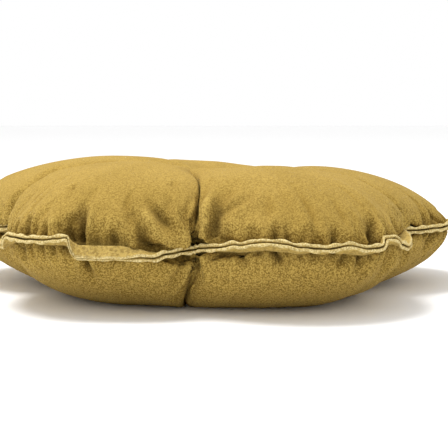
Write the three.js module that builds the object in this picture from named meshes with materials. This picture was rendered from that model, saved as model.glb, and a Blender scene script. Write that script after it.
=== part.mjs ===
// A flower-shaped scatter cushion of velvet with five uneven petals, lying on its back.
// Two flower-shaped panels are sewn together 10 mm inside their turned-in edges, so that a flat
// two-layer flange stands out all round the filled body. Deep creases part the petals and run into
// a soft dimple in the middle, and small gathers pucker the cloth along the stitch line.
// Millimetres, +Z up. The origin is on the floor under the middle, and the photographed side faces -Y.
import * as THREE from "three";

// Driving dimensions
const SEAM_HEIGHT = 48.5; // the stitch line's usual height above the floor
const FLANGE_WIDTH = 10.5;
const FLANGE_LAYER = 1.7; // one layer: a panel's edge with its turned-in seam allowance
const LAYER_GAP = 0.4; // between the two flange layers
const FIT_GAP = 0.3; // between the flange and the body
const DIMPLE_DEPTH = 22; // how far the middle of each face is drawn in
const DIMPLE_REACH = 0.2; // the dimple's radius, as a share of the way to the seam
const NOTCH_RADIUS = 13.5; // of the stitch line's small arc between two petals; more than the flange

// The petals in order round the flower. tip: direction of the petal's tip in degrees; reach: from the
// middle to the stitch line at the tip; lobe: radius of the petal's round end; crown: the height of
// its top over the seam; belly: how far its underside would hang below the seam if no floor bore it;
// upper and lower: how full the top and the underside are near the seam; lean and hook: how far aside
// the crease after this petal bows on the top, halfway in and near the middle; sway: the same on the
// underside, near the seam; dip: how far the top sinks on the way to the next petal.
const PETALS = [
  { // front left
    tip: -125, reach: 205, lobe: 82, crown: 60, belly: 56.5,
    upper: 2.2, lower: 1.65, lean: 4, hook: -12, sway: -12, dip: 2,
  },
  { // front right
    tip: -60, reach: 210, lobe: 84, crown: 57, belly: 56.5,
    upper: 2.1, lower: 1.85, lean: -8, hook: 0, sway: 3, dip: 1,
  },
  { // right
    tip: 13, reach: 208, lobe: 90, crown: 52.5, belly: 56,
    upper: 1.75, lower: 1.75, lean: -4, hook: 5, sway: -3, dip: 5.5,
  },
  { // back
    tip: 86, reach: 210, lobe: 92, crown: 51.5, belly: 56,
    upper: 1.7, lower: 1.7, lean: 5, hook: -6, sway: 4, dip: -1,
  },
  { // left
    tip: 163, reach: 216, lobe: 93, crown: 59.3, belly: 54,
    upper: 2.5, lower: 1.45, lean: -16, hook: 0, sway: -4, dip: 1,
  },
];

// Shape of the filling. The profile is 1 at the middle and falls to 0 at the seam as
// (1 - t^fullness)^(1 / roundness). Across a petal the height falls away by a share: puff is the broad
// roundness, and crease is the narrow fold at its sides. Both grow on the way out from the middle.
const TOP = { fullness: 3.0, puff: 0.14, puffOnset: 1.2, crease: 0.34, creaseOnset: 2.4, creasePower: 12 };
const UNDER = { fullness: 3.6, puff: 0.12, puffOnset: 0.8, crease: 0.17, creaseOnset: 0.25, creasePower: 18 };
const PUFF_POWER = 2.6;
const NOTCH_FULLNESS = 5; // added to the fullness at a notch, where the cloth drops steeply

// Over a notch the cloth of two petals bulges out and presses together. share: how far the gap between
// them closes; reach: how far to each side of the crease; full: the distance from the seam's height at
// which they press with full force.
const SQUEEZE = { share: 0.9, reach: 30, full: 7 };

// The run of the flange, station by station. angle: direction from the middle in degrees;
// lift: height of the stitch line; tilt: how far the flange turns up, in degrees, or down if negative.
const FLANGE_RUN = [
  { angle: -172, lift: 48.5, tilt: 20 },
  { angle: -164, lift: 50, tilt: 28 },
  { angle: -154, lift: 50.5, tilt: 10 },
  { angle: -146.5, lift: 50.2, tilt: -20 },
  { angle: -140, lift: 51, tilt: -18 },
  { angle: -136, lift: 53, tilt: 27 },
  { angle: -131, lift: 55.2, tilt: 14 },
  { angle: -125.4, lift: 55, tilt: 15 },
  { angle: -120.7, lift: 55.3, tilt: 28 },
  { angle: -119.1, lift: 54.2, tilt: 40 },
  { angle: -117.2, lift: 54, tilt: -58 },
  { angle: -109.2, lift: 53.9, tilt: -62 },
  { angle: -105.5, lift: 50, tilt: -24 },
  { angle: -103.3, lift: 47.6, tilt: -10 },
  { angle: -101, lift: 46.4, tilt: 12 },
  { angle: -96.8, lift: 47.6, tilt: 12 },
  { angle: -90.7, lift: 48.5, tilt: 12 },
  { angle: -86.2, lift: 50.7, tilt: 15 },
  { angle: -82.3, lift: 51, tilt: 32 },
  { angle: -77.3, lift: 53.1, tilt: 36 },
  { angle: -74, lift: 52.5, tilt: 32 },
  { angle: -70.9, lift: 51, tilt: 27 },
  { angle: -68.8, lift: 52.4, tilt: 14 },
  { angle: -66.8, lift: 50.3, tilt: 26 },
  { angle: -64.9, lift: 51.6, tilt: 20 },
  { angle: -62.7, lift: 50.3, tilt: 33 },
  { angle: -57.6, lift: 48.4, tilt: 24 },
  { angle: -54.4, lift: 48.8, tilt: 22 },
  { angle: -52, lift: 49.8, tilt: 56 },
  { angle: -50.4, lift: 52.6, tilt: 35 },
  { angle: -48, lift: 54.6, tilt: -17 },
  { angle: -43.4, lift: 50.5, tilt: -13 },
  { angle: -39.5, lift: 48.8, tilt: 6 },
  { angle: -35.5, lift: 50.6, tilt: 10 },
  { angle: -29.8, lift: 52, tilt: 8 },
  { angle: -15, lift: 50, tilt: 13 },
  { angle: -6, lift: 48.6, tilt: 20 },
  { angle: 4, lift: 46, tilt: 22 },
  { angle: 18, lift: 47, tilt: -8 },
  { angle: 30, lift: 47.5, tilt: -22 },
  { angle: 41, lift: 48.5, tilt: 8 },
  { angle: 53, lift: 49.5, tilt: 18 },
  { angle: 66, lift: 48.5, tilt: 34 },
  { angle: 76, lift: 47.5, tilt: -14 },
  { angle: 90, lift: 47.5, tilt: -26 },
  { angle: 101, lift: 48.5, tilt: 22 },
  { angle: 113, lift: 49, tilt: 30 },
  { angle: 126, lift: 49, tilt: 6 },
  { angle: 138, lift: 48.5, tilt: -24 },
  { angle: 150, lift: 47.5, tilt: 20 },
  { angle: 163, lift: 46.5, tilt: 32 },
  { angle: 176, lift: 47, tilt: 24 },
];

// The main gathers, where the cloth is drawn in along the stitch line. side: 1 on the top, -1 on the
// underside; angle: direction from the middle; run: length up the cloth from the seam; depth; half:
// half width; lean: how many degrees the far end swings round.
const GATHERS = [
  { side: 1, angle: -149, run: 42, depth: 7.5, half: 6, lean: -3 },
  { side: 1, angle: -131.5, run: 26, depth: 5, half: 5, lean: -1 },
  { side: 1, angle: -126, run: 24, depth: 4.5, half: 5, lean: 1 },
  { side: 1, angle: -118.3, run: 52, depth: 12, half: 5, lean: 0 },
  { side: 1, angle: -109, run: 30, depth: 4.5, half: 6, lean: -2 },
  { side: 1, angle: -103.2, run: 52, depth: 12, half: 5.5, lean: -5 },
  { side: 1, angle: -98.5, run: 62, depth: 7.5, half: 6, lean: -4 },
  { side: 1, angle: -88, run: 60, depth: 7.5, half: 6, lean: 5 },
  { side: 1, angle: -77.4, run: 26, depth: 5, half: 6, lean: 1 },
  { side: 1, angle: -71.4, run: 28, depth: 6, half: 6, lean: 0 },
  { side: 1, angle: -64.3, run: 24, depth: 5, half: 6, lean: 0 },
  { side: 1, angle: -52, run: 40, depth: 9, half: 5, lean: -2 },
  { side: 1, angle: -40, run: 30, depth: 6, half: 6, lean: 2 },
  { side: 1, angle: -8, run: 26, depth: 6, half: 6, lean: 1 },
  { side: 1, angle: 24, run: 36, depth: 7.5, half: 6, lean: -2 },
  { side: 1, angle: 62, run: 38, depth: 7.5, half: 6, lean: 3 },
  { side: 1, angle: 82, run: 30, depth: 7.5, half: 6, lean: -1 },
  { side: 1, angle: 106, run: 36, depth: 7.5, half: 6, lean: 2 },
  { side: 1, angle: 143, run: 36, depth: 7.5, half: 6, lean: -2 },
  { side: 1, angle: 170, run: 30, depth: 6, half: 6, lean: 1 },
  { side: -1, angle: -148, run: 34, depth: 6, half: 6, lean: 4 },
  { side: -1, angle: -128, run: 26, depth: 5, half: 6, lean: 1 },
  { side: -1, angle: -117, run: 34, depth: 7.5, half: 5, lean: 3 },
  { side: -1, angle: -80, run: 28, depth: 6, half: 6, lean: 2 },
  { side: -1, angle: -68, run: 26, depth: 7, half: 6, lean: 3 },
  { side: -1, angle: -49, run: 36, depth: 7.5, half: 6, lean: -5 },
  { side: -1, angle: -41, run: 34, depth: 6, half: 5, lean: -4 },
  { side: -1, angle: 2, run: 26, depth: 6, half: 6, lean: 1 },
  { side: -1, angle: 34, run: 30, depth: 7.5, half: 6, lean: 2 },
  { side: -1, angle: 72, run: 30, depth: 7.5, half: 6, lean: 2 },
  { side: -1, angle: 100, run: 28, depth: 6, half: 6, lean: -2 },
  { side: -1, angle: 152, run: 28, depth: 6, half: 6, lean: -2 },
  { side: -1, angle: 178, run: 28, depth: 6, half: 6, lean: 2 },
];

// Fineness of the mesh
const STEPS_PER_PETAL = 20;
const CREASE_COLUMNS = [1.3, 2.8, 4.6, 6.8, 9.4]; // degrees on both sides of each crease
const RINGS = 12; // from the middle to the seam, on each face
const RING_SPACING = 0.8; // under 1 gives the middle fewer rings and the seam more
const CLOSEST_COLUMNS = 0.8; // degrees
const FLANGE_TWIST = 16; // the most degrees that the flange may turn between two columns

const radians = (degrees) => (degrees * Math.PI) / 180;
const wrap = (degrees) => ((((degrees + 180) % 360) + 360) % 360) - 180;
const bell = (x) => Math.exp(-x * x);
const smooth = (x) => {
  const held = Math.min(1, Math.max(0, x));
  return held * held * (3 - 2 * held);
};

const directionOf = (point) => (Math.atan2(point.y, point.x) * 180) / Math.PI;

function lobeCentre(petal) {
  const out = petal.reach - petal.lobe;
  return new THREE.Vector2(out * Math.cos(radians(petal.tip)), out * Math.sin(radians(petal.tip)));
}

// The small arc that joins a petal's round end to the next one's: its centre, the direction of its
// middle, where the crease runs, and the directions where it touches the two petals.
function notchBetween(petal, next) {
  const a = lobeCentre(petal);
  const b = lobeCentre(next);
  const gap = a.distanceTo(b);
  const fromA = petal.lobe + NOTCH_RADIUS;
  const fromB = next.lobe + NOTCH_RADIUS;
  const along = (fromA ** 2 - fromB ** 2 + gap ** 2) / (2 * gap);
  const aside = Math.sqrt(fromA ** 2 - along ** 2);
  const unit = b.clone().sub(a).divideScalar(gap);
  const outward = new THREE.Vector2(unit.y, -unit.x);
  const centre = a.clone().addScaledVector(unit, along).addScaledVector(outward, aside);
  return {
    centre,
    middle: directionOf(centre),
    start: directionOf(a.clone().lerp(centre, petal.lobe / fromA)),
    end: directionOf(b.clone().lerp(centre, next.lobe / fromB)),
  };
}

const NOTCHES = PETALS.map((petal, i) => notchBetween(petal, PETALS[(i + 1) % PETALS.length]));
const SECTORS = PETALS.map((petal, i) => ({
  ...petal,
  before: PETALS[(i + PETALS.length - 1) % PETALS.length],
  next: PETALS[(i + 1) % PETALS.length],
  from: NOTCHES[(i + PETALS.length - 1) % PETALS.length].middle,
  to: NOTCHES[i].middle,
}));

// The distance at which a ray from the middle meets the far side (1) or the near side (-1) of an arc.
function rayToArc(angle, centre, radius, side) {
  const ray = radians(angle);
  const ahead = centre.x * Math.cos(ray) + centre.y * Math.sin(ray);
  const aside = centre.x * Math.sin(ray) - centre.y * Math.cos(ray);
  return ahead + side * Math.sqrt(radius ** 2 - aside ** 2);
}

// The stitch line's distance from the middle: the petals' round ends joined by small arcs.
function seamRadius(angle) {
  const notch = NOTCHES.find(({ start, end }) => {
    const turn = wrap(angle - start);
    return turn >= 0 && turn <= wrap(end - start);
  });
  if (notch) return rayToArc(angle, notch.centre, NOTCH_RADIUS, -1);
  const { petal } = placeInPetal(angle);
  return rayToArc(angle, lobeCentre(petal), petal.lobe, 1);
}

// The petal that a direction lies in, and its place across it: 0 at the tip, -1 and 1 at the creases.
function placeInPetal(angle) {
  for (const petal of SECTORS) {
    const turn = wrap(angle - petal.tip);
    const edge = turn < 0 ? wrap(petal.from - petal.tip) : wrap(petal.to - petal.tip);
    if (Math.abs(turn) <= Math.abs(edge) + 1e-9) return { petal, across: turn / Math.abs(edge) };
  }
  throw new Error(`no petal at ${angle} degrees`);
}

// A height that belongs to the petals, eased from each petal's tip to the next one's.
function easedHeight(angle, key) {
  for (const petal of SECTORS) {
    const span = wrap(petal.next.tip - petal.tip);
    const share = wrap(angle - petal.tip) / span;
    if (share >= 0 && share <= 1) {
      return petal[key] + (petal.next[key] - petal[key]) * smooth(share);
    }
  }
  throw new Error(`no height at ${angle} degrees`);
}

// How far the top sinks on the way from one petal's tip to the next one's.
function sunk(angle) {
  for (const petal of SECTORS) {
    const share = wrap(angle - petal.tip) / wrap(petal.next.tip - petal.tip);
    if (share >= 0 && share <= 1) return petal.dip * 4 * share * (1 - share);
  }
  throw new Error(`no dip at ${angle} degrees`);
}

// How far a face would stand off the seam's height over the middle, at a direction.
const swellAt = (side, angle) =>
  side > 0 ? easedHeight(angle, "crown") - sunk(angle) : easedHeight(angle, "belly");

// The flange's lift and tilt at a direction: a smooth curve through the stations.
function flangeAt(angle) {
  const n = FLANGE_RUN.length;
  const k = FLANGE_RUN.findIndex((station, i) => {
    const span = (((FLANGE_RUN[(i + 1) % n].angle - station.angle) % 360) + 360) % 360;
    const along = (((angle - station.angle) % 360) + 360) % 360;
    return along < span;
  });
  const at = (i) => FLANGE_RUN[(k + i + n) % n];
  const turnTo = (station) => (((station.angle - at(0).angle) % 360) + 360) % 360;
  const share = ((((angle - at(0).angle) % 360) + 360) % 360) / turnTo(at(1));
  const mix = (key) => at(0)[key] + (at(1)[key] - at(0)[key]) * smooth(share);
  return { lift: mix("lift"), tilt: radians(mix("tilt")) };
}

// The stitch line at a direction: its point, the way out of the seam in plan, and the flange's own
// outward and upward directions.
function seamAt(angle) {
  const step = 0.5;
  const plan = (a) => {
    const r = seamRadius(a);
    return new THREE.Vector3(r * Math.cos(radians(a)), r * Math.sin(radians(a)), 0);
  };
  const tangent = plan(angle + step).sub(plan(angle - step)).normalize();
  const out = new THREE.Vector3(tangent.y, -tangent.x, 0);
  const { lift, tilt } = flangeAt(angle);
  const point = plan(angle);
  point.z = lift;
  const along = out.clone().multiplyScalar(Math.cos(tilt));
  along.z = Math.sin(tilt);
  const above = out.clone().multiplyScalar(-Math.sin(tilt));
  above.z = Math.cos(tilt);
  return { point, along, above };
}

// How deep the gathers press the cloth in, at a distance up the cloth from the seam.
function gatherDepth(side, angle, run, radius) {
  return GATHERS.filter((gather) => gather.side === side).reduce((depth, gather) => {
    if (run >= gather.run) return depth;
    const share = run / gather.run;
    const swing = gather.angle + gather.lean * share;
    const across = (radians(wrap(angle - swing)) * radius) / gather.half;
    const valley = bell(across) - 0.35 * (bell(across - 2) + bell(across + 2));
    const rise = Math.min(1, run / gather.half);
    return depth + gather.depth * valley * rise * (1 - share) ** 1.2;
  }, 0);
}

// How far a point of the body is pushed round the flower, in millimetres: towards the nearest crease
// where two petals press together, and along with the crease where it bows.
function sidewaysShift(petal, across, angle, share, radius, height) {
  const crease = across < 0 ? petal.from : petal.to;
  const { lean, hook, sway } = across < 0 ? petal.before : petal;
  const inward = 1 - share;
  const bow = height > 0
    ? lean * 4 * share * inward + hook * 6.75 * share * inward ** 2
    : sway * 9.5 * share ** 3 * inward;
  const aside = share * radius * Math.sin(radians(wrap(angle - crease)));
  const pressed = smooth(Math.abs(height) / SQUEEZE.full);
  const near = smooth((share - 0.25) / 0.35) * smooth((Math.abs(across) - 0.2) / 0.4);
  const squeeze = SQUEEZE.share * pressed * near * bell(aside / SQUEEZE.reach);
  return bow * Math.abs(across) - aside * squeeze;
}

// A point of the filled body. side is 1 on the top and -1 on the underside; share runs from 0 in the
// middle to 1 at the seam.
function bodyPoint(side, angle, share) {
  const form = side > 0 ? TOP : UNDER;
  const radius = seamRadius(angle);
  const { petal, across } = placeInPetal(angle);
  const swell = swellAt(side, angle);
  const roundness = easedHeight(angle, side > 0 ? "upper" : "lower");
  const size = Math.abs(across);
  const fullness = form.fullness + NOTCH_FULLNESS * size ** 4;
  const profile = (1 - share ** fullness) ** (1 / roundness);
  const creased =
    form.puff * size ** PUFF_POWER * share ** form.puffOnset +
    form.crease * size ** form.creasePower * share ** form.creaseOnset;
  const dimple = DIMPLE_DEPTH * bell(share / DIMPLE_REACH);
  const rise = swell * profile * (1 - creased) - dimple;
  const seam = SEAM_HEIGHT + (flangeAt(angle).lift - SEAM_HEIGHT) * share ** 4;
  const run = Math.hypot((1 - share) * radius, rise);
  const press = gatherDepth(side, angle, run, share * radius);
  const outward = share ** 3;
  const upward = Math.sqrt(1 - outward ** 2);
  const reach = share * radius - press * outward;
  const height = side * (rise - press * upward);
  const shift = sidewaysShift(petal, across, angle, share, radius, height);
  const direction = radians(angle) + shift / (share * radius);
  return new THREE.Vector3(
    reach * Math.cos(direction),
    reach * Math.sin(direction),
    Math.max(seam + height, 0),
  );
}

// The directions at which the meshes have a column of points: even steps in each petal, the creases
// themselves, and the middle and sides of each gather and flange fold.
function columnAngles() {
  const wanted = [];
  for (const petal of SECTORS) {
    const span = wrap(petal.to - petal.from);
    for (let i = 1; i < STEPS_PER_PETAL; i += 1) {
      wanted.push({ angle: wrap(petal.from + (span * i) / STEPS_PER_PETAL), rank: 0 });
    }
    wanted.push({ angle: petal.from, rank: 2 });
    for (const beside of CREASE_COLUMNS) {
      wanted.push({ angle: wrap(petal.from + beside), rank: 2 });
      wanted.push({ angle: wrap(petal.from - beside), rank: 2 });
    }
  }
  for (const gather of GATHERS) {
    const half = (gather.half / seamRadius(gather.angle)) * (180 / Math.PI);
    wanted.push({ angle: wrap(gather.angle), rank: 1 });
    wanted.push({ angle: wrap(gather.angle - 1.4 * half), rank: 1 });
    wanted.push({ angle: wrap(gather.angle + 1.4 * half), rank: 1 });
  }
  FLANGE_RUN.forEach((station, i) => {
    const next = FLANGE_RUN[(i + 1) % FLANGE_RUN.length];
    const steps = Math.ceil(Math.abs(next.tilt - station.tilt) / FLANGE_TWIST);
    const span = wrap(next.angle - station.angle);
    for (let k = 0; k < steps; k += 1) {
      wanted.push({ angle: wrap(station.angle + (span * k) / steps), rank: 1 });
    }
  });
  wanted.sort((a, b) => b.rank - a.rank);
  const kept = [];
  for (const { angle } of wanted) {
    if (kept.every((other) => Math.abs(wrap(angle - other)) >= CLOSEST_COLUMNS)) kept.push(angle);
  }
  return kept.sort((a, b) => a - b);
}

const COLUMNS = columnAngles();

// A closed mesh from a stack of rings, each a loop of points in the same order, with a point at
// each end of the stack. The faces below its middle ring are split as a mirror image of those above.
function closedStack(first, rings, last) {
  const middle = (rings.length - 1) / 2;
  const columns = rings[0].length;
  const points = [first, ...rings.flat(), last];
  const at = (ring, column) => 1 + ring * columns + (column % columns);
  const faces = [];
  for (let c = 0; c < columns; c += 1) {
    faces.push(0, at(0, c), at(0, c + 1));
    for (let r = 0; r + 1 < rings.length; r += 1) {
      const [a, b, d, e] = [at(r, c), at(r + 1, c), at(r + 1, c + 1), at(r, c + 1)];
      if (r < middle) faces.push(a, b, d, a, d, e);
      else faces.push(a, b, e, b, d, e);
    }
    faces.push(points.length - 1, at(rings.length - 1, c + 1), at(rings.length - 1, c));
  }
  return geometryOf(points, faces);
}

// A closed loop swept from sections, each a ring of points in the same order. mirrored turns the
// faces round, for sections that run the other way about.
function closedLoop(sections, mirrored) {
  const around = sections[0].length;
  const points = sections.flat();
  const at = (section, k) => (section % sections.length) * around + (k % around);
  const faces = [];
  for (let s = 0; s < sections.length; s += 1) {
    for (let k = 0; k < around; k += 1) {
      faces.push(at(s, k), at(s + 1, k), at(s + 1, k + 1));
      faces.push(at(s, k), at(s + 1, k + 1), at(s, k + 1));
    }
  }
  return geometryOf(points, mirrored ? faces.reverse() : faces);
}

function geometryOf(points, faces) {
  const geometry = new THREE.BufferGeometry().setFromPoints(points);
  geometry.setIndex(faces);
  geometry.computeVertexNormals();
  return geometry;
}

// The filled body: both panels with their filling, closed by a narrow band that faces the flange.
function filledBody() {
  const shares = [];
  for (let j = 1; j < RINGS; j += 1) {
    shares.push(Math.sin((Math.PI / 2) * (j / RINGS)) ** RING_SPACING);
  }
  const band = FLANGE_LAYER + LAYER_GAP / 2;
  const seams = COLUMNS.map(seamAt);
  const bandRing = (rise) =>
    seams.map((seam) => seam.point.clone().addScaledVector(seam.above, rise));
  const top = shares.map((share) => COLUMNS.map((angle) => bodyPoint(1, angle, share)));
  const under = shares.map((share) => COLUMNS.map((angle) => bodyPoint(-1, angle, share))).reverse();
  const centre = (side) => {
    const swell = COLUMNS.reduce((sum, angle) => sum + swellAt(side, angle), 0) / COLUMNS.length;
    const rise = swell - DIMPLE_DEPTH;
    return new THREE.Vector3(0, 0, SEAM_HEIGHT + side * rise);
  };
  const edge = [bandRing(band), bandRing(0), bandRing(-band)];
  return closedStack(centre(1), [...top, ...edge, ...under], centre(-1));
}

// One layer of the flange: a panel's turned-in edge, thick and round at the fold. side is 1 for the
// upper panel's and -1 for the lower panel's.
function flangeLayer(side) {
  const inner = LAYER_GAP / 2;
  const outer = inner + FLANGE_LAYER;
  const section = [
    [FIT_GAP, inner],
    [FLANGE_WIDTH - 0.8, inner],
    [FLANGE_WIDTH, (inner + outer) / 2],
    [FLANGE_WIDTH - 0.7, outer],
    [FIT_GAP, outer],
  ];
  const sections = COLUMNS.map((angle) => {
    const { point, along, above } = seamAt(angle);
    return section.map(([out, up]) =>
      point.clone().addScaledVector(along, out).addScaledVector(above, side * up),
    );
  });
  return closedLoop(sections, side < 0);
}

function clothMaterial(colour, roughness) {
  return new THREE.MeshStandardMaterial({ color: colour, roughness, metalness: 0 });
}

function namedMesh(name, geometry, material) {
  const mesh = new THREE.Mesh(geometry, material);
  mesh.name = name;
  return mesh;
}

const cushion = new THREE.Group();
cushion.add(namedMesh("filled_body", filledBody(), clothMaterial(0xb8953f, 0.85)));
cushion.add(namedMesh("upper_flange", flangeLayer(1), clothMaterial(0xc2a354, 0.85)));
cushion.add(namedMesh("lower_flange", flangeLayer(-1), clothMaterial(0xb39647, 0.85)));

// The petals differ, so the flower is moved until the origin is under the middle of its outline.
const middle = new THREE.Box3().setFromObject(cushion).getCenter(new THREE.Vector3());
for (const mesh of cushion.children) mesh.geometry.translate(-middle.x, -middle.y, 0);

export default cushion;
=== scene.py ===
import math
from collections import namedtuple

import bpy
import numpy as np
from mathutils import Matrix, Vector


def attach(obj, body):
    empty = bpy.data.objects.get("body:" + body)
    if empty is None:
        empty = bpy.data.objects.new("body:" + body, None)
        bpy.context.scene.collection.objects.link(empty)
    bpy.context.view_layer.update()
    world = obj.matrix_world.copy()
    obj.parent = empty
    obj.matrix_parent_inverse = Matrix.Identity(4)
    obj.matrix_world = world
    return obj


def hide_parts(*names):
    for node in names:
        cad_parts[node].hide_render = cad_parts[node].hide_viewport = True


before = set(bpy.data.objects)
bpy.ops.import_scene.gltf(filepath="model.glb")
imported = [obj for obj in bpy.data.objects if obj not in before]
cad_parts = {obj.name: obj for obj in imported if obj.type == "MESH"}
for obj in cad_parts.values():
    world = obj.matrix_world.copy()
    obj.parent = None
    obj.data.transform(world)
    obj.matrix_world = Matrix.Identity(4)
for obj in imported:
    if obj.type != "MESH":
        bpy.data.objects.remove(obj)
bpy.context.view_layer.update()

MM = 0.001
RNG = np.random.default_rng(11)

# Sizes.
SEAM_HEIGHT = 48.5
NOTCH_RADIUS = 13.5
DIMPLE_DEPTH = 22.0
DIMPLE_REACH = 0.2
FLANGE_WIDTH = 10.5
BAND = 1.9
CENTRING = (2.56, -8.35)  # brings the middle of the outline over the origin

Petal = namedtuple("Petal", "tip reach lobe crown belly upper lower lean hook sway dip")
PETALS = [
    Petal(-125, 205, 82, crown=60, belly=56.5, upper=2.2, lower=1.65, lean=8, hook=-20, sway=-12, dip=2),
    Petal(-60, 210, 84, crown=57, belly=56.5, upper=2.1, lower=1.85, lean=-8, hook=0, sway=3, dip=1),
    Petal(13, 208, 90, crown=52.5, belly=56, upper=1.75, lower=1.75, lean=-4, hook=5, sway=-3, dip=5.5),
    Petal(86, 210, 92, crown=51.5, belly=56, upper=1.7, lower=1.7, lean=5, hook=-6, sway=4, dip=-1),
    Petal(163, 216, 93, crown=59.3, belly=54, upper=2.5, lower=1.45, lean=-16, hook=0, sway=-4, dip=1),
]
Form = namedtuple("Form", "fullness puff puff_onset crease crease_onset crease_power")
TOP = Form(fullness=3.0, puff=0.14, puff_onset=1.2, crease=0.34, crease_onset=2.4, crease_power=12)
UNDER = Form(fullness=3.6, puff=0.12, puff_onset=0.8, crease=0.17, crease_onset=0.25, crease_power=18)
PUFF_POWER = 2.6
NOTCH_FULLNESS = 5.0
# Two petals press together over a notch. closed: how much of the gap between them closes; start:
# the share of the way out where it begins; steepness: how fast it dies away to the side.
Squeeze = namedtuple("Squeeze", "closed start steepness")
TOP_SQUEEZE = Squeeze(closed=0.95, start=0.4, steepness=2)
UNDER_SQUEEZE = Squeeze(closed=0.82, start=0.25, steepness=1.5)
SQUEEZE_REACH, SQUEEZE_FULL = 34.0, 6.5
NOTCH_FILL, NOTCH_FILL_WIDTH = 9.0, 9.0  # the cloth that stands out where two petals crowd together

# The run of the flange: direction, height of the stitch line, and tilt in degrees, up if positive.
Station = namedtuple("Station", "angle lift tilt")
FLANGE_RUN = [
    Station(-172, 48.5, 20), Station(-164, 50, 28), Station(-154, 50.5, 10),
    Station(-146.5, 50.2, -20), Station(-140, 51, -18), Station(-136, 53, 27),
    Station(-131, 55.2, 14), Station(-125.4, 55, 15), Station(-120.7, 55.3, 28),
    Station(-119.1, 54.2, 40), Station(-117.2, 54, -58), Station(-109.2, 53.9, -62),
    Station(-105.5, 50, -24), Station(-103.3, 47.6, -10), Station(-101, 46.4, 12),
    Station(-96.8, 47.6, 12), Station(-90.7, 48.5, 12), Station(-86.2, 50.7, 15),
    Station(-82.3, 51, 32), Station(-77.3, 53.1, 36), Station(-74, 52.5, 32),
    Station(-70.9, 51, 27), Station(-68.8, 52.4, 14), Station(-66.8, 50.3, 26),
    Station(-64.9, 51.6, 20), Station(-62.7, 50.3, 33), Station(-57.6, 48.4, 24),
    Station(-54.4, 48.8, 22), Station(-52, 49.8, 56), Station(-50.4, 52.6, 35),
    Station(-48, 54.6, -17), Station(-43.4, 50.5, -13), Station(-39.5, 48.8, 6),
    Station(-35.5, 50.6, 10), Station(-29.8, 52, 8), Station(-15, 50, 13), Station(-6, 48.6, 20),
    Station(4, 46, 22), Station(18, 47, -8), Station(30, 47.5, -22), Station(41, 48.5, 8),
    Station(53, 49.5, 18), Station(66, 48.5, 34), Station(76, 47.5, -14), Station(90, 47.5, -26),
    Station(101, 48.5, 22), Station(113, 49, 30), Station(126, 49, 6), Station(138, 48.5, -24),
    Station(150, 47.5, 20), Station(163, 46.5, 32), Station(176, 47, 24),
]

FOLD_DEPTH = 1.6

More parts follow.
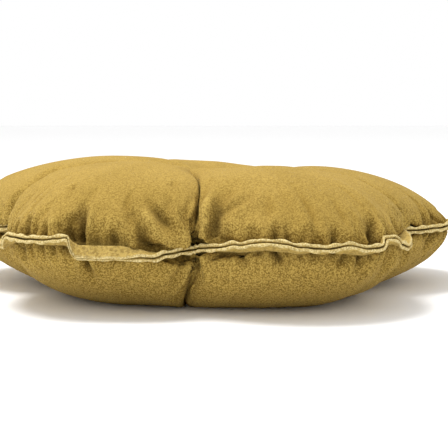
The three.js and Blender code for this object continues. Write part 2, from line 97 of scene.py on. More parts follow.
# Folds of the cloth. path: places along the valley, each the direction in degrees and the distance
# up the cloth from the stitch line; depth: how far the valley is pressed in, or raised if negative;
# left and right: the valley's half widths, seen from outside with the stitch line below.
Fold = namedtuple("Fold", "path depth left right")
TOP_FOLDS = [
    Fold([(-136.7, 0), (-137.1, 7), (-137.5, 14)], 2.6, 3, 3),
    Fold([(-130.7, 0), (-131.5, 7), (-133, 19)], 4.8, 3.5, 2.6),
    Fold([(-128.3, 0), (-128.8, 8), (-129.2, 13)], 2.8, 2.6, 2.6),
    Fold([(-125, 0), (-125.8, 8), (-126.5, 15)], 4.4, 3, 3),
    Fold([(-123.2, 0), (-123.9, 8), (-124.2, 12)], 2.2, 2.6, 2.6),
    Fold([(-121.5, 0), (-122.3, 8), (-123.1, 16)], 4.4, 3, 3),
    Fold([(-119.7, 0), (-120.4, 9), (-121.6, 23)], 5.6, 4.5, 3),
    Fold([(-116.8, 0), (-117, 6), (-117.4, 15), (-118.5, 28), (-120.1, 39)], 11, 9, 2.4),
    Fold([(-125.4, 48), (-126.2, 53), (-125.8, 57)], 2, 2.4, 2),
    Fold([(-115.5, 0), (-115.5, 5), (-115.5, 12)], 2.8, 3, 3),
    Fold([(-113.6, 0), (-113.6, 5), (-113.6, 15)], 3.8, 4, 4),
    Fold([(-111.8, 0), (-111.8, 5), (-111.8, 10)], 2.4, 3, 3),
    Fold([(-110.1, 0), (-110.3, 5), (-110.7, 15)], 5, 3.5, 3.5),
    Fold([(-108.2, 0), (-108.4, 5), (-108.8, 11)], 2.8, 3.5, 3.5),
    Fold([(-103.2, 0), (-104.4, 4), (-105.9, 10), (-106.2, 16), (-107, 22), (-108.1, 28),
          (-109.2, 36)], 6, 4.5, 4),
    Fold([(-106.2, 10), (-107, 18), (-108.1, 24)], -2.2, 3, 3),
    Fold([(-105.2, 14), (-105.9, 23), (-107.3, 34)], -2, 4, 4),
    Fold([(-101.9, 24), (-103.4, 29), (-104.1, 31), (-105.2, 34), (-106.2, 39),
          (-107.7, 47)], 4, 4.2, 3.6),
    Fold([(-103, 37), (-104.1, 41), (-104.8, 46), (-105.9, 52)], 3, 2.8, 2.4),
    Fold([(-105.9, 63), (-105.9, 69), (-105.5, 74)], 1.8, 2.4, 2.2),
    Fold([(-84.8, 24), (-84.8, 33), (-84.8, 45), (-83.8, 61)], -2.4, 3.4, 3.4),
    Fold([(-83.8, 0), (-83.8, 19), (-83.8, 27), (-83.8, 35), (-83.1, 42), (-82.4, 53),
          (-81, 69)], 6, 3.2, 7),
    Fold([(-82.8, 37), (-81.4, 38), (-80.3, 40), (-78.9, 44), (-76.1, 60)], 2.4, 2.8, 2.6),
    Fold([(-83, 0), (-82.4, 15), (-82.1, 25)], 3.6, 4, 4),
    Fold([(-81, 0), (-81, 12), (-81, 21)], 3, 5, 5),
    Fold([(-80, 0), (-79.6, 10), (-79.3, 18)], 3.8, 3.6, 3.6),
    Fold([(-78.8, 0), (-78.2, 9), (-77.8, 15)], 2.4, 3, 3),
    Fold([(-76.3, 0), (-76.1, 9), (-75.7, 21)], 6, 3.2, 3.2),
    Fold([(-73.9, 0), (-73.5, 8), (-72.8, 24)], 5.6, 4.6, 4),
    Fold([(-72.1, 0), (-71.7, 9), (-71.3, 16)], 2.6, 3, 3),
    Fold([(-70.9, 0), (-70.2, 9), (-69.5, 19)], 4.6, 3.2, 3.2),
    Fold([(-68.2, 0), (-68, 7), (-67.7, 19)], 4.2, 3.6, 3.6),
    Fold([(-66.7, 0), (-66.2, 8), (-65.8, 13)], 2.6, 3, 3),
    Fold([(-64.1, 0), (-63.6, 9), (-62.8, 21)], 5, 3.6, 3.6),
    Fold([(-62.1, 0), (-61.4, 7), (-60.6, 14)], 2.8, 3, 3),
    Fold([(-59.6, 0), (-59.1, 7), (-58.7, 13)], 2.4, 3, 3),
    Fold([(-57.7, 0), (-56.9, 7), (-55, 24)], 4.2, 3.6, 3.6),
    Fold([(-54.5, 0), (-53.6, 8), (-52.4, 16), (-50.6, 24)], 7, 5, 2.2),
    Fold([(-49.8, 0), (-48.8, 6), (-47.3, 15)], 3.2, 3, 3),
    Fold([(-44.5, 0), (-43.3, 8), (-40.1, 19)], 3.6, 3, 3),
    Fold([(-37.3, 0), (-37, 9), (-36.6, 19)], 3.6, 3, 3),
    Fold([(-15.5, 0), (-14.3, 15), (-13.6, 20)], 3.2, 3, 3),
    Fold([(-12.6, 0), (-11.4, 7), (-9.2, 17)], 4.4, 3, 3),
    Fold([(-9.3, 0), (-8.1, 6), (-4.7, 19)], 4.6, 3, 3),
    Fold([(24, 0), (22, 38)], 7, 5, 4),
    Fold([(62, 0), (65, 40)], 7, 4, 5),
    Fold([(82, 0), (81, 30)], 6, 5, 4),
    Fold([(106, 0), (108, 36)], 7, 4, 5),
    Fold([(143, 0), (141, 40)], 7, 5, 4),
    Fold([(170, 0), (171, 32)], 6, 4, 4),
    Fold([(-149, 0), (-151, 20), (-153, 44)], 5.5, 5, 4),
]
UNDER_FOLDS = [
    Fold([(-148.2, 0), (-147, 16), (-140.8, 15)], -2, 1.8, 1.8),
    Fold([(-132.9, 0), (-133.7, 5), (-135.3, 14)], 3.4, 2.6, 2.6),
    Fold([(-129.9, 0), (-130.7, 5), (-132.2, 16)], 3.6, 2.6, 2.6),
    Fold([(-126.8, 0), (-127.3, 5), (-128.1, 13)], 4.2, 3, 3),
    Fold([(-125, 0), (-125.4, 5), (-125.8, 10)], 2.4, 2.6, 2.6),
    Fold([(-123.6, 0), (-123.9, 5), (-124.2, 13)], 4.2, 3, 3),
    Fold([(-121.3, 0), (-121.6, 4), (-122, 9)], 2.6, 2.6, 2.6),
    Fold([(-120.3, 0), (-120.4, 3), (-120.8, 14)], 4.8, 3, 3),
    Fold([(-116.7, 0), (-116.7, 12), (-116.7, 18), (-116.7, 25), (-117.4, 37)], 6.5, 2.4, 2.4),
    Fold([(-112.4, 0), (-113.3, 13), (-113.6, 19)], 2.4, 3, 3),
    Fold([(-108, 0), (-108.8, 12), (-109.2, 18)], 2.4, 3, 3),
    Fold([(-95.8, 5), (-98.1, 9), (-100.3, 15), (-101.3, 24), (-101.7, 34),
          (-102, 44)], 4, 2.4, 1.5),
    Fold([(-93.4, 5), (-96.8, 12), (-98.5, 18), (-100, 29), (-101.3, 42),
          (-102.7, 55)], -2.4, 1.3, 1.3),
    Fold([(-86, 0), (-84.8, 14), (-83.8, 20)], 2.8, 4, 4),
    Fold([(-85.3, 0), (-84.1, 8), (-82.8, 16)], 2.6, 3, 3),
    Fold([(-83.5, 0), (-82.8, 7), (-81.7, 16)], 3.6, 3, 3),
    Fold([(-82.1, 0), (-81.4, 4), (-80.3, 11), (-79.6, 16)], 4.8, 2.8, 2.4),
    Fold([(-79.1, 0), (-78.9, 3), (-78.6, 8)], 2.4, 3, 3),
    Fold([(-76.3, 0), (-76.1, 2), (-75.3, 7), (-73.9, 15)], 6.2, 2.6, 2.6),
    Fold([(-73.7, 0), (-73.5, 2), (-73.2, 7)], 2.4, 3, 3),
    Fold([(-71, 0), (-71, 1), (-70.6, 7)], 2.8, 3, 3),
    Fold([(-68.6, 0), (-68.4, 3), (-68, 9)], 3.2, 3, 3),
    Fold([(-64.3, 0), (-64.3, 1), (-64, 12)], 3.6, 3, 3),
    Fold([(-59.5, 0), (-59.5, 2), (-59.5, 8)], 2.8, 3, 3),
    Fold([(-55.3, 0), (-55.4, 4), (-55.8, 13)], 2.2, 2.4, 2.4),
    Fold([(-53.5, 0), (-53.9, 3), (-55, 11), (-54.7, 24)], -2.6, 2, 2),
    Fold([(-51.7, 0), (-52.1, 5), (-52.8, 13)], 2.4, 2.4, 2.4),
    Fold([(-49.7, 0), (-49.1, 6), (-48, 18), (-45.5, 28)], 3.2, 2.8, 2.8),
    Fold([(-46.2, 0), (-45.5, 7), (-44.8, 14), (-44, 21)], -2.4, 2, 2),
    Fold([(-43.2, 0), (-43, 6), (-42.6, 14), (-40.5, 22)], 4.6, 2.2, 2.2),
    Fold([(-35.4, 0), (-36.6, 12), (-38.7, 16), (-38.7, 28)], -2.4, 2, 2),
    Fold([(-16.7, 0), (-15.7, 26), (-15.3, 35)], 3.6, 2.4, 2.6),
    Fold([(-12.1, 0), (-11.4, 6), (-10.7, 13)], 2.8, 3, 3),
    Fold([(-6.9, 0), (-6.4, 4), (-5.1, 13)], 5, 2.8, 2.8),
    Fold([(-148, 0), (-146, 34)], 5, 4, 4),
    Fold([(2, 0), (3, 26)], 5, 4, 4),
    Fold([(34, 0), (36, 30)], 6, 4, 4),
    Fold([(72, 0), (74, 30)], 6, 4, 4),
    Fold([(100, 0), (98, 28)], 5, 4, 4),
    Fold([(152, 0), (150, 28)], 5, 4, 4),
    Fold([(178, 0), (180, 28)], 5, 4, 4),
]


# Small helpers.
def wrap(degrees):
    return (np.asarray(degrees, float) + 180.0) % 360.0 - 180.0


def bell(x):
    return np.exp(-(x * x))


def smooth(x):
    held = np.clip(x, 0.0, 1.0)
    return held * held * (3 - 2 * held)


def ray(degrees):
    turn = math.radians(degrees)
    return np.array([math.cos(turn), math.sin(turn)])


def direction_of(point):
    return math.degrees(math.atan2(point[1], point[0]))


# The flower's outline.
def lobe_centre(petal):
    return (petal.reach - petal.lobe) * ray(petal.tip)


Notch = namedtuple("Notch", "centre middle start end")


def notch_between(petal, following):
    """The small arc of the stitch line that joins one petal's round end to the next one's."""
    a, b = lobe_centre(petal), lobe_centre(following)
    from_a, from_b = petal.lobe + NOTCH_RADIUS, following.lobe + NOTCH_RADIUS
    gap = np.linalg.norm(b - a)
    along = (from_a**2 - from_b**2 + gap**2) / (2 * gap)
    aside = math.sqrt(from_a**2 - along**2)
    unit = (b - a) / gap
    centre = a + along * unit + aside * np.array([unit[1], -unit[0]])
    start = direction_of(a + (centre - a) * petal.lobe / from_a)
    end = direction_of(b + (centre - b) * following.lobe / from_b)
    return Notch(centre, direction_of(centre), start, end)


COUNT = len(PETALS)
NOTCHES = [notch_between(PETALS[i], PETALS[(i + 1) % COUNT]) for i in range(COUNT)]


def place_in_petal(angle):
    """The number of the petal that a direction lies in, and its place across it: -1 to 1."""
    for i, petal in enumerate(PETALS):
        turn = float(wrap(angle - petal.tip))
        edge = NOTCHES[i - 1].middle if turn < 0 else NOTCHES[i].middle
        reach = abs(float(wrap(edge - petal.tip)))
        if abs(turn) <= reach + 1e-9:
            return i, turn / reach
    raise ValueError(angle)


def between_tips(angle):
    """The two petals whose tips a direction lies between, and its share of the way."""
    for petal, following in zip(PETALS, PETALS[1:] + PETALS[:1]):
        share = float(wrap(angle - petal.tip)) / float(wrap(following.tip - petal.tip))
        if 0 <= share <= 1:
            return petal, following, share
    raise ValueError(angle)


def eased(angle, key):
    """A value of the petals, eased from each petal's tip to the next one's."""
    petal, following, share = between_tips(angle)
    low, high = getattr(petal, key), getattr(following, key)
    return low + (high - low) * float(smooth(share))


def sunk(angle):
    """How far the top sinks on the way from one petal's tip to the next one's."""
    petal, _, share = between_tips(angle)
    return petal.dip * 4 * share * (1 - share)


def arc_hit(angle, centre, radius, side):
    unit = ray(angle)
    ahead = centre @ unit
    aside = centre[0] * unit[1] - centre[1] * unit[0]
    return ahead + side * math.sqrt(radius**2 - aside**2)


def seam_radius(angle):
    for notch in NOTCHES:
        if 0 <= wrap(angle - notch.start) <= wrap(notch.end - notch.start):
            return arc_hit(angle, notch.centre, NOTCH_RADIUS, -1)
    petal = PETALS[place_in_petal(angle)[0]]
    return arc_hit(angle, lobe_centre(petal), petal.lobe, 1)


def flange_at(angle):
    """The flange's lift and tilt at a direction, eased from station to station."""
    for here, there in zip(FLANGE_RUN, FLANGE_RUN[1:] + FLANGE_RUN[:1]):
        along, span = (angle - here.angle) % 360, (there.angle - here.angle) % 360
        if along < span:
            share = float(smooth(along / span))
            return (
                here.lift + (there.lift - here.lift) * share,
                math.radians(here.tilt + (there.tilt - here.tilt) * share),
            )
    raise ValueError(angle)


# Columns of the meshes.
COLUMNS = 700
FRONT_CROWDING = 1.3  # how many more columns there are on the front, as a share


def column_directions():
    """Even steps along the outline, closer together on the front; one lies exactly on each crease."""
    fine = np.linspace(-180, 180, 7201)
    r = np.array([seam_radius(a) for a in fine])
    x, y = r * np.cos(np.radians(fine)), r * np.sin(np.radians(fine))
    front = smooth((20 - y) / 60)
    density = 1 + FRONT_CROWDING * (front[1:] + front[:-1]) / 2
    count = np.concatenate([[0], np.cumsum(np.hypot(np.diff(x), np.diff(y)) * density)])
    found = np.interp(np.arange(COLUMNS) * count[-1] / COLUMNS, count, fine)
    for notch in NOTCHES:
        found[np.argmin(np.abs(wrap(found - notch.middle)))] = notch.middle
    return found


angles = column_directions()
radii = np.array([seam_radius(a) for a in angles])
petal_of, across = (np.array(v) for v in zip(*(place_in_petal(a) for a in angles)))
lifts, tilts = (np.array(v) for v in zip(*(flange_at(a) for a in angles)))
fills = {
    key: np.array([eased(a, key) for a in angles]) for key in ("crown", "belly", "upper", "lower")
}
fills["crown"] -= np.array([sunk(a) for a in angles])
turns = np.radians(angles)


def seam_directions():
    """Along each column: out of the seam in plan, and the flange's outward and upward directions."""
    plan = np.stack([radii * np.cos(turns), radii * np.sin(turns)], 1)
    tangent = np.roll(plan, -1, 0) - np.roll(plan, 1, 0)
    tangent /= np.linalg.norm(tangent, axis=1, keepdims=True)
    out = np.stack([tangent[:, 1], -tangent[:, 0], np.zeros(COLUMNS)], 1)
    up = np.array([0.0, 0.0, 1.0])
    cosine, sine = np.cos(tilts)[:, None], np.sin(tilts)[:, None]
    points = np.concatenate([plan, lifts[:, None]], 1)
    return points, out * cosine + up * sine, up * cosine - out * sine


seam_points, flange_out, flange_up = seam_directions()


# The filled body.
def crease_gap():
    """How far each column stands from the nearest crease, along the stitch line."""
    gap = np.min([np.abs(wrap(angles - notch.middle)) for notch in NOTCHES], axis=0)
    return np.radians(gap) * radii


def sideways_shift(side, share, height):
    """How far a point is pushed round the flower: towards the crease, or along with its bow."""
    beside = np.where(across < 0, petal_of - 1, petal_of)
    crease = np.array([notch.middle for notch in NOTCHES])[beside]
    lean, hook, sway = np.array([(petal.lean, petal.hook, petal.sway) for petal in PETALS])[beside].T
    size = np.abs(across)
    aside = share * radii * np.sin(np.radians(wrap(angles - crease)))
    pressed = smooth(np.abs(height) / SQUEEZE_FULL)
    grip = TOP_SQUEEZE if side > 0 else UNDER_SQUEEZE
    near = smooth((share - grip.start) / 0.35) * smooth((size - 0.2) / 0.4)
    squeeze = grip.closed * pressed * near * bell(np.abs(aside / SQUEEZE_REACH) ** grip.steepness)
    if side > 0:
        bow = lean * 4 * share * (1 - share) + hook * 6.75 * share * (1 - share) ** 2
    else:
        bow = sway * 9.5 * share**3 * (1 - share)
    return bow * size - aside * squeeze


def panel(side, shares):
    """One face's rows of points, from near the middle out to near the seam, without small folds."""
    form = TOP if side > 0 else UNDER
    share = shares[:, None]
    swell, roundness = ("crown", "upper") if side > 0 else ("belly", "lower")
    size = np.abs(across)
    fullness = form.fullness + NOTCH_FULLNESS * size**4
    profile = (1 - share**fullness) ** (1 / fills[roundness])
    creased = form.puff * size**PUFF_POWER * share**form.puff_onset
    creased = creased + form.crease * size**form.crease_power * share**form.crease_onset
    rise = fills[swell] * profile * (1 - creased) - DIMPLE_DEPTH * bell(share / DIMPLE_REACH)
    seam = SEAM_HEIGHT + (lifts - SEAM_HEIGHT) * share**4
    shift = sideways_shift(side, share, rise)
    turn = turns + shift / (share * radii)
    crowded = bell(crease_gap() * share / NOTCH_FILL_WIDTH)
    crowded = crowded * smooth((rise - 1.5) / 4) * (1 - smooth((rise - 8) / 24))
    reach = share * radii + NOTCH_FILL * crowded
    return np.stack([reach * np.cos(turn), reach * np.sin(turn), seam + side * rise], -1)


def row_normals(points, side):
    along = np.roll(points, -1, 1) - np.roll(points, 1, 1)
    outward = np.gradient(points, axis=0)
    normal = np.cross(outward, along) * side
    normal /= np.linalg.norm(normal, axis=2, keepdims=True) + 1e-12
    return normal


def seeded_folds(known):
    """Small gathers that the stitches draw up all round, between the larger folds."""
    angle = -180.0
    while angle < 180.0:
        angle += RNG.uniform(2.2, 4.4)
        draw = RNG.uniform(0.4, 1.0, 4)
        near = min(abs(float(wrap(angle - fold.path[0][0]))) for fold in known)
        if near > 1.7:
            lean = RNG.uniform(-0.06, 0.06) * 24 * draw[0]
            path = [(angle, 0), (angle + lean, 13 + 13 * draw[0] ** 2)]
            yield Fold(path, 4.6 * draw[1], 2.2 + 2 * draw[2], 2.2 + 2 * draw[3])


def on_cover(points, far, angle, up):
    """The point of a face at a direction and a distance up the cloth from the stitch line."""
    around = np.append(angles, angles[0] + 360)
    column = np.interp(wrap(angle), around, np.arange(COLUMNS + 1)) % COLUMNS
    share = column - int(column)
    found = []
    for i in (int(column), (int(column) + 1) % COLUMNS):
        found.append([np.interp(-up, -far[:, i], points[:, i, axis]) for axis in range(3)])
    return (1 - share) * np.array(found[0]) + share * np.array(found[1])


def beside_line(line, spot, normal):
    """For each spot: its share of the way along a line, and its signed distance from the line."""
    best = np.full(len(spot), np.inf)
    along, aside = np.zeros(len(spot)), np.zeros(len(spot))
    for k, (a, b) in enumerate(zip(line, line[1:])):
        way = b - a
        t = np.clip((spot - a) @ way / (way @ way), 0, 1)
        gap = spot - a - t[:, None] * way
        gap -= (gap * normal).sum(1, keepdims=True) * normal
        distance = np.linalg.norm(gap, axis=1)
        closer = distance < best
        turn = (np.cross(normal, way) * gap).sum(1)
        best[closer] = distance[closer]
        along[closer] = ((k + t) / (len(line) - 1))[closer]
        aside[closer] = (np.sign(turn) * distance)[closer]
    return along, aside


def fold_depth(side, points, normals, far):
    """How deep the folds press a face in, at each of its points."""
    depth = np.zeros(far.shape)
    known = TOP_FOLDS if side > 0 else UNDER_FOLDS
    for fold in known + list(seeded_folds(known)):
        stops = np.array(fold.path, float)
        from_seam = stops[0, 1] < 6
        share = np.linspace(0, len(stops) - 1, 4 * len(stops) + 1)
        directions, ups = (np.interp(share, range(len(stops)), column) for column in stops.T)
        line = np.array([on_cover(points, far, a, u) for a, u in zip(directions, ups)])
        reach = 4.5 * max(fold.left, fold.right)
        low, high = line.min(0) - reach, line.max(0) + reach
        near = np.all((points > low) & (points < high), axis=2)
        along, aside = beside_line(line, points[near], normals[near])
        half = np.where(aside * side > 0, fold.left, fold.right) * (0.75 + 0.6 * along)
        x = np.abs(aside) / half
        valley = np.exp(-(x**1.6)) - 0.24 * bell((x - 2.3) / 0.9)
        ease = 4 if fold.depth < 0 else 2.6 if stops[-1, 1] < 26 else 1.5
        fade = 1 - along**ease if from_seam else 4 * along * (1 - along)
        depth[near] += FOLD_DEPTH * fold.depth * valley * fade
    return depth


def row_shares(rows, near_gap, far_gap):
    """Shares of the way out at which the rows lie: close together along the seam, wider inside."""
    t = np.linspace(0, 1, 4001)
    height = 58 * (1 - t**3.2) ** 0.5
    length = np.concatenate([[0], np.cumsum(np.hypot(np.diff(t) * 205, np.diff(height)))])
    left = length[-1] - length
    density = 1 / (near_gap + (far_gap - near_gap) * smooth(left / 130))
    count = np.concatenate([[0], np.cumsum((density[1:] + density[:-1]) / 2 * np.diff(length))])
    wanted = np.linspace(0, count[-1], rows + 2)[1:-1]
    return np.interp(wanted, count, t)


ROWS = 52
shares = row_shares(ROWS, near_gap=2.3, far_gap=6.4)


def up_the_cloth(points):
    """How far each point of a face lies up the cloth from the stitch line."""
    steps = np.linalg.norm(np.diff(np.concatenate([points, seam_points[None]]), axis=0), axis=2)
    return np.cumsum(steps[::-1], axis=0)[::-1]


def folded_panel(side):
    points = panel(side, shares)
    normals = row_normals(points, side)
    far = up_the_cloth(points)
    depth = fold_depth(side, points, normals, far)
    points = points - normals * depth[..., None]
    points[..., 2] = np.maximum(points[..., 2], 0.0)
    return points, depth


def closed_stack(first, rings, last):
    """Points and faces of a closed form: rings from top to bottom, and a point at each end."""
    rings = np.asarray(rings)
    count, around = rings.shape[:2]
    points = np.concatenate([[first], rings.reshape(-1, 3), [last]])
    at = lambda ring, column: 1 + ring * around + column % around
    faces = [(0, at(0, c), at(0, c + 1)) for c in range(around)]
    for r in range(count - 1):
        faces += [(at(r, c), at(r + 1, c), at(r + 1, c + 1), at(r, c + 1)) for c in range(around)]
    end = len(points) - 1
    faces += [(end, at(count - 1, c + 1), at(count - 1, c)) for c in range(around)]
    return points, faces


def closed_loop(sections):
    """Points and faces of a form swept round: each section is a ring of points."""
    count, around = sections.shape[:2]
    at = lambda s, k: (s % count) * around + k % around
    faces = [
        (at(s, k), at(s + 1, k), at(s + 1, k + 1), at(s, k + 1))
        for s in range(count)
        for k in range(around)
    ]
    return sections.reshape(-1, 3), faces


def make_mesh(name, points, faces, **marks):
    """A smooth mesh object of points in millimetres. marks are numbers kept for each point."""
    mesh = bpy.data.meshes.new(name)
    placed = (np.asarray(points) + np.array([*CENTRING, 0.0])) * MM
    mesh.from_pydata(placed.tolist(), [], faces)
    for mark, values in marks.items():
        attribute = mesh.attributes.new(mark, "FLOAT", "POINT")
        attribute.data.foreach_set("value", np.asarray(values, np.float32).ravel())
    mesh.shade_smooth()
    made = bpy.data.objects.new(name, mesh)
    bpy.context.scene.collection.objects.link(made)
    return made


def cushion_cover():
    (top, top_depth), (under, under_depth) = folded_panel(1), folded_panel(-1)
    edge = [seam_points + flange_up * rise for rise in (BAND, 0.0, -BAND)]
    swell = {side: np.mean(fills[key]) for side, key in ((1, "crown"), (-1, "belly"))}
    centre = lambda side: SEAM_HEIGHT + side * (swell[side] - DIMPLE_DEPTH)
    rings = np.concatenate([top, np.array(edge), under[::-1]])
    points, faces = closed_stack((0, 0, centre(1)), rings, (0, 0, max(centre(-1), 0)))
    rim = np.stack([top_depth[-1], (top_depth[-1] + under_depth[-1]) / 2, under_depth[-1]])
    depth = np.concatenate([top_depth, rim, under_depth[::-1]]).ravel()
    return make_mesh("cushion_cover", points, faces, fold=np.concatenate([[0], depth, [0]]))


# The cloth settles under the filling's push.
HELD_SEAM = 9.0  # from the seam, the cloth is held by its stitches
HELD_MIDDLE, MIDDLE_EASE = 12, 25  # the dimple is held out to the first, and eased over the second
HELD_CREASE = 11.0
SPARE_REACH = 34.0  # the drawn-up cloth lies within this of the seam
SPARE_CLOTH = 0.06
MOST_MOVED = 9.0
SETTLING_STEPS = 20


def far_from_seam():
    """For each point of the cover: how far it lies up the cloth from the stitch line."""
    top, under = (up_the_cloth(panel(side, shares)) for side in (1, -1))
    rim = np.zeros((3, COLUMNS))
    rings = np.concatenate([top, rim, under[::-1]]).ravel()
    return np.concatenate([[top.max()], rings, [top.max()]])


def crease_nearness():
    """For each point of the cover: 1 where two petals press together, 0 away from there."""
    rows = np.concatenate([shares, np.ones(3), shares[::-1]])[:, None]
    near = bell(crease_gap() * rows / HELD_CREASE) * smooth((rows - 0.3) / 0.3)
    return np.concatenate([[0], near.ravel(), [0]])


def add_group(piece, name, weights):
    group = piece.vertex_groups.new(name=name)
    for step in range(1, 33):
        chosen = np.flatnonzero(np.round(weights * 32) == step)
        if len(chosen):
            group.add(chosen.tolist(), step / 32, "REPLACE")
    return group.name


def positions(mesh):
    flat = np.zeros(len(mesh.vertices) * 3, np.float32)
    mesh.vertices.foreach_get("co", flat)
    return flat.reshape(-1, 3).astype(float)


def settle(piece):
    """Lets the cloth find its own small wrinkles between its stitches, then keeps the result."""
    start = positions(piece.data)
    far = far_from_seam()
    held = np.maximum(1 - smooth((far - 1.0) / HELD_SEAM), 0.9 * crease_nearness())
    middle = np.hypot(*(start[:, :2] / MM - np.array(CENTRING)).T)
    held = np.maximum(held, 1 - smooth((middle - HELD_MIDDLE) / MIDDLE_EASE))
    held = np.maximum(held, 1 / 32)
    held[start[:, 2] < 0.4 * MM] = 1.0
    spare = (1 - smooth(far / SPARE_REACH)) * (1 - crease_nearness())
    cloth = piece.modifiers.new("cloth", "CLOTH").settings
    cloth.vertex_group_mass = add_group(piece, "held", held)
    cloth.vertex_group_shrink = add_group(piece, "taut", 1 - spare)
    cloth.shrink_min, cloth.shrink_max = -SPARE_CLOTH, 0.0
    cloth.quality = 5
    cloth.mass = 0.1
    cloth.tension_stiffness = cloth.compression_stiffness = 15
    cloth.shear_stiffness = 5
    cloth.bending_stiffness = 4
    cloth.pin_stiffness = 0.1
    cloth.use_pressure = True
    cloth.uniform_pressure_force = 30
    cloth.effector_weights.gravity = 0
    piece.modifiers["cloth"].collision_settings.use_collision = False
    scene = bpy.context.scene
    scene.frame_start, scene.frame_end = 1, SETTLING_STEPS
    piece.modifiers["cloth"].point_cache.frame_end = SETTLING_STEPS
    for step in range(1, SETTLING_STEPS + 1):
        scene.frame_set(step)
    settled = piece.evaluated_get(bpy.context.evaluated_depsgraph_get())
    moved = (positions(settled.data) - start) / MM
    piece.modifiers.clear()
    scene.frame_set(1)
    length = np.linalg.norm(moved, axis=1, keepdims=True)
    moved *= MOST_MOVED * np.tanh(length / MOST_MOVED) / np.maximum(length, 1e-9)
    placed = start + moved * MM
    placed[:, 2] = np.maximum(placed[:, 2], 0.0)
    piece.data.vertices.foreach_set("co", placed.astype(np.float32).ravel())
    piece.data.update()


# The flange.
def flange_section(side):
    """One layer of the flange across its width: two plies with a plump fold outside.

    Each row says how far out it is, how far up, and how much of it is the folded edge.
    """
    flat, roll, gap = 1.75, 1.25, 0.22
    parting = 0.38  # the two folds stand a little further apart than the plies
    centre = (FLANGE_WIDTH - roll, gap + parting + roll)
    section = [(0.3, gap, 0), (4.5, gap, 0), (7.2, gap + 0.1, 0)]
    for turn in np.radians(np.linspace(-110, 118, 11)):
        edge = max(0.0, math.cos(turn - 0.25)) ** 0.8
        section.append((centre[0] + roll * math.cos(turn), centre[1] + roll * math.sin(turn), edge))
    back = gap + flat
    section += [(7.0, back + 0.55, 0), (4.6, back + 0.05, 0), (2.4, back, 0), (0.3, back, 0)]
    return np.array(section) * np.array([1, side, 1])


def waves(lengths, amount):
    """A seeded uneven wave round the flower, made of waves of the given lengths in degrees."""
    total = 0
    for length in lengths:
        height, start = amount * RNG.uniform(0.5, 1), RNG.uniform(0, 6.28)
        total = total + height * np.sin(turns * round(360 / length) + start)
    return total


FLANGE_WAVE = waves((5.2, 7.1, 9.3, 12.5, 17), 0.22)
FLANGE_REACH = waves((4.3, 6.2, 8.8, 14), 0.17)


def flange_layer(name, side):
    section = flange_section(side)
    across_width = section[:, 0] / FLANGE_WIDTH
    own = waves((2.6, 3.7, 5.9), 0.09)[:, None]
    out = section[:, 0] + (FLANGE_REACH[:, None] + own) * across_width**2
    lift = section[:, 1] + (FLANGE_WAVE[:, None] + 0.6 * own) * across_width**1.5
    pinch = 1 + 0.16 * waves((3.1, 4.6), 1.0)[:, None] * (across_width > 0.6)
    lift = np.where(np.abs(section[:, 1]) > 1.0, lift * pinch, lift)
    points = seam_points[:, None] + flange_out[:, None] * out[..., None]
    points = points + flange_up[:, None] * lift[..., None]
    edge = np.broadcast_to(section[:, 2], points.shape[:2])
    if side < 0:
        points, edge = points[:, ::-1], edge[:, ::-1]
    made, faces = closed_loop(points)
    return make_mesh(name, made, faces, edge=edge)


# Shader maths.
class Link:
    """A shader socket that takes part in Python sums."""

    def __init__(self, paint, socket):
        self.paint, self.socket = paint, socket

    def sum(self, operation, a, b):
        return self.paint.node("ShaderNodeMath", {"operation": operation}, {0: a, 1: b})

    def __add__(self, other):
        return self.sum("ADD", self, other)

    def __sub__(self, other):
        return self.sum("SUBTRACT", self, other)

    def __mul__(self, other):
        return self.sum("MULTIPLY", self, other)

    def __rsub__(self, other):
        return self.sum("SUBTRACT", other, self)

    __radd__ = __add__
    __rmul__ = __mul__


class Paint:
    """The nodes of one material."""

    def __init__(self, name):
        self.material = bpy.data.materials.new(name)
        self.material.use_nodes = True
        self.tree = self.material.node_tree
        self.tree.nodes.clear()

    def node(self, kind, settings=None, inputs=None, output=0):
        made = self.tree.nodes.new(kind)
        for key, value in (settings or {}).items():
            setattr(made, key, value)
        for key, value in (inputs or {}).items():
            if isinstance(value, Link):
                self.tree.links.new(value.socket, made.inputs[key])
            else:
                made.inputs[key].default_value = value
        return Link(self, made.outputs[output]) if made.outputs else None

    def between(self, value, low, high):
        """0 where a value is at low, 1 where it is at high, eased from one to the other."""
        inputs = {"Value": value, "From Min": low, "From Max": high}
        return self.node("ShaderNodeMapRange", {"interpolation_type": "SMOOTHSTEP"}, inputs)

    def mark(self, name):
        return self.node("ShaderNodeAttribute", {"attribute_name": name}, output="Fac")

    def noise(self, where, scale, detail=3.0, roughness=0.55, distortion=0.0):
        inputs = {
            "Vector": where, "Scale": scale, "Detail": detail,
            "Roughness": roughness, "Distortion": distortion,
        }
        return self.node("ShaderNodeTexNoise", None, inputs)

    def mix(self, share, a, b):
        return self.node("ShaderNodeMix", {"data_type": "RGBA"}, {0: share, 6: a, 7: b}, output=2)


OCHRE = (0.28, 0.175, 0.03, 1)
DARK_OCHRE = (0.135, 0.077, 0.01, 1)
PALE_OCHRE = (0.34, 0.218, 0.045, 1)
LIT_OCHRE = (0.5, 0.345, 0.085, 1)
DEEP_OCHRE = (0.075, 0.042, 0.006, 1)
SHADE = (0.05, 0.027, 0.004, 1)
EDGE_OCHRE = (0.42, 0.285, 0.07, 1)
STRAW = (0.72, 0.6, 0.3, 1)


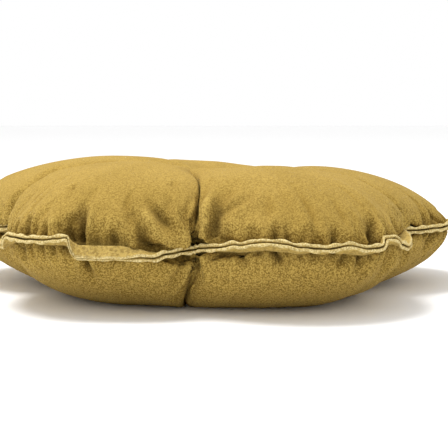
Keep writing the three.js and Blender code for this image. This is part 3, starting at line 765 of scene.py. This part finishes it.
def velvet(name, edge_mark=None):
    """Ochre velvet: a short pile that lies this way and that, and opens pale along folded edges, with a
    painted highlight there; on the cloth, painted shade in hollows and painted highlight on ridges.
    """
    paint = Paint(name)
    where = paint.node("ShaderNodeTexCoord", output="Object")
    tufts = paint.noise(where, scale=450, detail=2, roughness=0.6)
    pile = paint.noise(where, scale=900, detail=1, roughness=0.5)
    specks = paint.noise(where, scale=820, detail=1, roughness=0.6)
    if edge_mark:
        tone = paint.mix(paint.between(tufts, 0.44, 0.6) * 0.55, EDGE_OCHRE, DARK_OCHRE)
        # Painted pale along the outside of each rolled edge: partly the pile opening at the fold, partly
        # a painted highlight.
        opened_pile_and_highlight = paint.mark(edge_mark) * 0.8 + 0.1
        tone = paint.mix(opened_pile_and_highlight * (1 - paint.between(specks, 0.42, 0.58) * 0.7), tone, STRAW)
    else:
        steep = paint.mark("steep")
        brushed = paint.noise(where, scale=14, detail=3, distortion=0.8)
        tone = paint.mix(paint.between(brushed, 0.38, 0.64), OCHRE, PALE_OCHRE)
        # Painted highlight: LIT_OCHRE mixed along the ridges of the cloth.
        tone = paint.mix(paint.mark("ridge") * 0.85, tone, LIT_OCHRE)
        tone = paint.mix(paint.between(tufts, 0.47, 0.57) * (steep * 0.22 + 0.24), tone, DARK_OCHRE)
        tone = paint.mix(paint.between(pile, 0.44, 0.56) * 0.32, tone, DARK_OCHRE)
        tone = paint.mix(paint.between(specks, 0.52, 0.57) * (steep * 0.3 + 0.05), tone, DEEP_OCHRE)
        tone = paint.mix(paint.between(specks, 0.48, 0.42) * (steep * 0.5 + 0.14), tone, LIT_OCHRE)
        # Painted shade: SHADE mixed into the hollows, the creases and the band along the seam.
        tone = paint.mix(paint.mark("hollow") * 0.65, tone, SHADE)
    height = tufts * 0.7 + pile * 0.3
    bump = paint.node("ShaderNodeBump", None, {"Strength": 0.7, "Distance": 0.0015, "Height": height})
    shader = {
        "Base Color": tone,
        "Roughness": 0.9,
        "Normal": bump,
        "Sheen Weight": 0.12,
        "Sheen Roughness": 0.4,
        "Sheen Tint": (0.9, 0.68, 0.22, 1),
        "Specular IOR Level": 0.1,
    }
    surface = paint.node("ShaderNodeBsdfPrincipled", None, shader)
    paint.node("ShaderNodeOutputMaterial", None, {"Surface": surface})
    return paint.material


def plain(name, tone, roughness):
    paint = Paint(name)
    shader = {"Base Color": tone, "Roughness": roughness}
    surface = paint.node("ShaderNodeBsdfPrincipled", None, shader)
    paint.node("ShaderNodeOutputMaterial", None, {"Surface": surface})
    return paint.material


# Painted shade in the cloth's hollows and painted highlight on its ridges.
def ring_mean(values, steps):
    """Evens a value out over the cover's grid of rings and columns."""
    for _ in range(steps):
        beside = (np.roll(values, 1, 1) + np.roll(values, -1, 1)) / 2
        held = np.concatenate([values[:1], values, values[-1:]])
        values = (2 * values + beside + (held[:-2] + held[2:]) / 2) / 4
    return values


def mark_painted_shade_and_highlight(piece):
    """Marks painted shade where the cloth is pressed in and along the seam, and painted highlight where
    it stands out, from the cover's own shape.
    """
    points = positions(piece.data)[1:-1].reshape(-1, COLUMNS, 3) / MM
    normals = np.zeros(len(piece.data.vertices) * 3)
    piece.data.vertices.foreach_get("normal", normals)
    normals = normals.reshape(-1, 3)[1:-1].reshape(-1, COLUMNS, 3)
    fold = np.zeros(len(piece.data.vertices))
    piece.data.attributes["fold"].data.foreach_get("value", fold)
    fold = fold[1:-1].reshape(-1, COLUMNS)
    over_cover = (far_from_seam(), crease_nearness())
    from_seam, crease = (values[1:-1].reshape(-1, COLUMNS) for values in over_cover)
    fine, broad = ring_mean(points, 4), ring_mean(points, 90)
    broader = ring_mean(broad, 200)
    proud = lambda a, b: ((a - b) * normals).sum(2)
    near, far = proud(fine, broad), proud(fine, broader)
    # Painted shade in fold valleys, in pressed-in places and in a band along the seam; painted highlight
    # on raised folds and where the cloth stands out.
    hollow = 0.55 * smooth((fold - 0.4) / 5) + 0.55 * smooth((-near - 0.1) / 1.1)
    hollow += 0.25 * smooth((-far - 0.6) / 3.2) + 0.8 * bell(from_seam / 6.5)
    ridge = np.clip(0.4 * smooth((near - 0.1) / 1.0) + smooth((-fold - 1.2) / 1.4), 0, 1)
    hollow *= (1 - 0.4 * crease) * (1 - 0.75 * ridge)
    steep = 1 - smooth((normals[..., 2] - 0.3) / 0.5)
    for mark, values in (("hollow", hollow), ("ridge", ridge), ("steep", steep)):
        even = np.clip(ring_mean(values, 2), 0, 1).ravel()
        attribute = piece.data.attributes.new(mark, "FLOAT", "POINT")
        attribute.data.foreach_set("value", np.concatenate([[0], even, [0]]).astype(np.float32))


# The pieces.
cover = cushion_cover()
settle(cover)
mark_painted_shade_and_highlight(cover)
cover.data.materials.append(velvet("ochre_velvet"))
upper = flange_layer("upper_edge", 1)
lower = flange_layer("lower_edge", -1)
edge_velvet = velvet("ochre_velvet_edge", "edge")
for layer in (upper, lower):
    layer.data.materials.append(edge_velvet)

for piece, node, slot in (
    (cover, "filled_body", "panel_velvet"),
    (upper, "upper_flange", "upper_edge_velvet"),
    (lower, "lower_flange", "lower_edge_velvet"),
):
    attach(piece, "root")
    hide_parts(node)

# Floor, light and camera.
FLOOR_TONE = (0.95, 0.95, 0.95, 1)
CAMERA_DISTANCE = 1.18
CAMERA_ELEVATION = math.radians(6)

bpy.ops.mesh.primitive_plane_add(size=8, location=(0, 0, 0))
floor = bpy.context.object
floor.name = "floor"
floor.data.materials.append(plain("pale_floor", FLOOR_TONE, roughness=0.7))

world = bpy.data.worlds.new("studio")
bpy.context.scene.world = world
world.use_nodes = True
background = world.node_tree.nodes["Background"]
background.inputs["Color"].default_value = (1, 1, 1, 1)
background.inputs["Strength"].default_value = 1.0


def area_light(name, place, aim, size, power):
    light = bpy.data.lights.new(name, "AREA")
    light.shape, light.size, light.energy = "DISK", size, power
    made = bpy.data.objects.new(name, light)
    made.location = place
    made.rotation_euler = (Vector(aim) - Vector(place)).to_track_quat("-Z", "Y").to_euler()
    bpy.context.scene.collection.objects.link(made)


area_light("overhead", place=(-0.4, 0.12, 1.5), aim=(0, 0, 0.05), size=0.9, power=24.6)

camera_data = bpy.data.cameras.new("camera")
camera_data.sensor_width, camera_data.lens = 36.0, 110.9
camera = bpy.data.objects.new("camera", camera_data)
bpy.context.scene.collection.objects.link(camera)
target = Vector((12 + CENTRING[0], CENTRING[1], 51)) * MM
away = Vector((0, -math.cos(CAMERA_ELEVATION), math.sin(CAMERA_ELEVATION)))
camera.location = target + CAMERA_DISTANCE * away
camera.rotation_euler = (target - camera.location).to_track_quat("-Z", "Y").to_euler()
bpy.context.scene.camera = camera
bpy.context.scene.view_settings.view_transform = "Standard"
